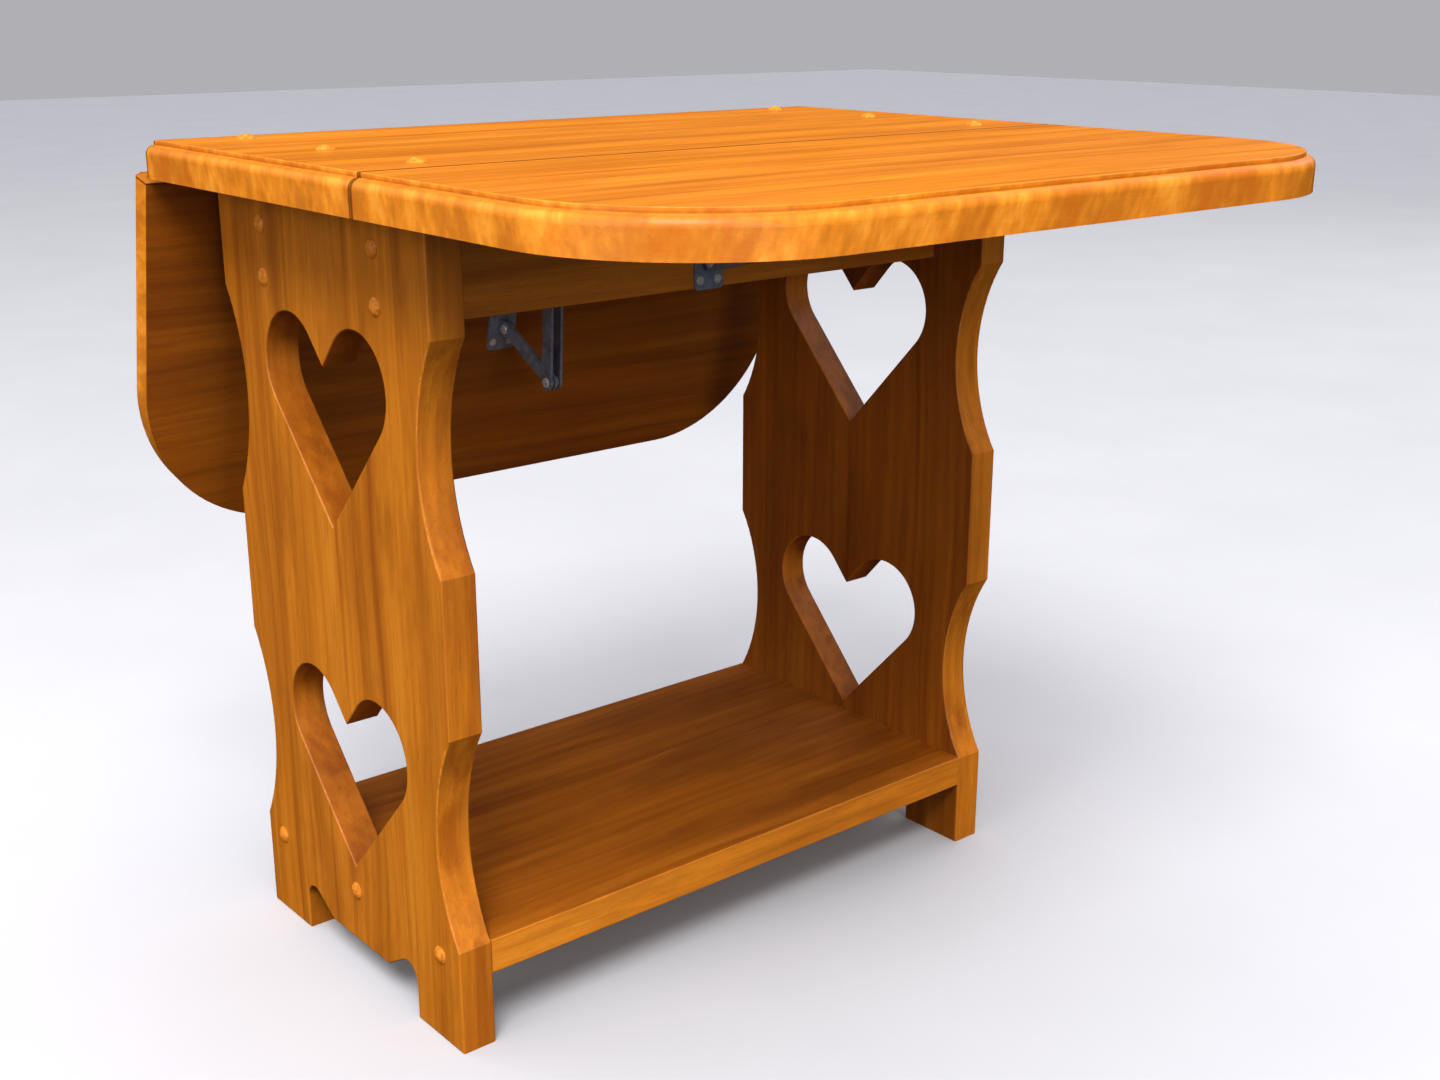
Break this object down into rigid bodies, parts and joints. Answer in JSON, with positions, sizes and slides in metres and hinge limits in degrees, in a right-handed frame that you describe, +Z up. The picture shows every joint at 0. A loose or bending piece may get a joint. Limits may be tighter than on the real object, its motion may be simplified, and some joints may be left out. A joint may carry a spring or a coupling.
{
  "type": "drop-leaf table",
  "caption": "Drop-leaf table with heart-pierced end panels, a low shelf, and a moulded top whose hinged leaves are held by folding steel stays.",
  "frame": {"origin": "middle of the whole table's box on the floor, with the front leaf up and the back leaf hanging; the base's own middle is at y = +0.118 m", "axes": "+X along the table from the left end panel to the right one, +Y from the front to the back, +Z up"},
  "size_m": [0.76, 0.8226, 0.7442],
  "materials": {
    "top_pine": "satin honey varnish over pine, worn a little along the moulded edge",
    "base_pine": "satin honey-brown varnish over pine",
    "plug_pine": "satin varnish, end grain",
    "stay_steel": "blue-grey zinc-plated, slightly dulled",
    "hinge_steel": "bright plated, slightly dulled",
    "fastener_steel": "bright plated"
  },
  "bodies": {
    "base": {"back_hinge_fixed_screws": "fastener_steel", "back_left_hinge_fixed_plate": "hinge_steel", "back_left_hinge_pin": "fastener_steel", "back_rail": "base_pine", "back_right_hinge_fixed_plate": "hinge_steel", "back_right_hinge_pin": "fastener_steel", "back_stay_rail_bracket": "stay_steel", "back_stay_rail_rivet": "fastener_steel", "back_stay_rail_screws": "fastener_steel", "centre_board": "top_pine", "front_hinge_fixed_screws": "fastener_steel", "front_left_hinge_fixed_plate": "hinge_steel", "front_left_hinge_pin": "fastener_steel", "front_rail": "base_pine", "front_right_hinge_fixed_plate": "hinge_steel", "front_right_hinge_pin": "fastener_steel", "front_stay_rail_bracket": "stay_steel", "front_stay_rail_rivet": "fastener_steel", "front_stay_rail_screws": "fastener_steel", "left_end_panel": "base_pine", "left_rail_plugs": "plug_pine", "left_rail_screws": "fastener_steel", "left_shelf_plugs": "plug_pine", "left_shelf_screws": "fastener_steel", "left_top_plugs": "plug_pine", "left_top_screws": "fastener_steel", "lower_shelf": "base_pine", "right_end_panel": "base_pine", "right_rail_plugs": "plug_pine", "right_rail_screws": "fastener_steel", "right_shelf_plugs": "plug_pine", "right_shelf_screws": "fastener_steel", "right_top_plugs": "plug_pine", "right_top_screws": "fastener_steel"},
    "front_leaf_body": {"front_leaf": "top_pine", "front_left_hinge_leaf_plate": "hinge_steel", "front_right_hinge_leaf_plate": "hinge_steel", "front_hinge_leaf_screws": "fastener_steel", "front_stay_leaf_bracket": "stay_steel", "front_stay_leaf_screws": "fastener_steel", "front_stay_leaf_rivet": "fastener_steel"},
    "front_upper_arm_body": {"front_stay_upper_arm": "stay_steel", "front_stay_spacer": "stay_steel", "front_stay_elbow_rivet": "fastener_steel"},
    "front_lower_arm_body": {"front_stay_lower_arm": "stay_steel", "front_stay_elbow_bush": "stay_steel"},
    "back_leaf_body": {"back_leaf": "top_pine", "back_left_hinge_leaf_plate": "hinge_steel", "back_right_hinge_leaf_plate": "hinge_steel", "back_hinge_leaf_screws": "fastener_steel", "back_stay_leaf_bracket": "stay_steel", "back_stay_leaf_screws": "fastener_steel", "back_stay_leaf_rivet": "fastener_steel"},
    "back_upper_arm_body": {"back_stay_upper_arm": "stay_steel", "back_stay_spacer": "stay_steel", "back_stay_elbow_rivet": "fastener_steel"},
    "back_lower_arm_body": {"back_stay_lower_arm": "stay_steel", "back_stay_elbow_bush": "stay_steel"}
  },
  "joints": [
    {"name": "front_leaf_hinge", "type": "hinge", "parent": "base", "child": "front_leaf_body", "pos_m": [0, -0.06091, 0.7035], "axis": [1, 0, 0], "range_deg": [0, 76.7]},
    {"name": "front_stay_upper_pivot", "type": "hinge", "parent": "base", "child": "front_upper_arm_body", "pos_m": [0, -0.00591, 0.637], "axis": [1, 0, 0], "range_deg": [0, 100.25]},
    {"name": "front_stay_lower_pivot", "type": "hinge", "parent": "front_leaf_body", "child": "front_lower_arm_body", "pos_m": [0, -0.23891, 0.696], "axis": [1, 0, 0], "range_deg": [-91.16, 0]},
    {"name": "back_leaf_hinge", "type": "hinge", "parent": "base", "child": "back_leaf_body", "pos_m": [0, 0.29709, 0.7035], "axis": [1, 0, 0], "range_deg": [0, 76.7]},
    {"name": "back_stay_upper_pivot", "type": "hinge", "parent": "base", "child": "back_upper_arm_body", "pos_m": [0, 0.24209, 0.637], "axis": [1, 0, 0], "range_deg": [0, 100.25]},
    {"name": "back_stay_lower_pivot", "type": "hinge", "parent": "back_leaf_body", "child": "back_lower_arm_body", "pos_m": [0, 0.33074, 0.52855], "axis": [1, 0, 0], "range_deg": [-91.16, 0]}
  ],
  "couplings": [
    {"joint": "front_stay_upper_pivot", "follows": "front_leaf_hinge", "ratio": 1.3064},
    {"joint": "front_stay_lower_pivot", "follows": "front_leaf_hinge", "ratio": -1.1879},
    {"joint": "back_stay_upper_pivot", "follows": "back_leaf_hinge", "ratio": 1.3064},
    {"joint": "back_stay_lower_pivot", "follows": "back_leaf_hinge", "ratio": -1.1879}
  ]
}
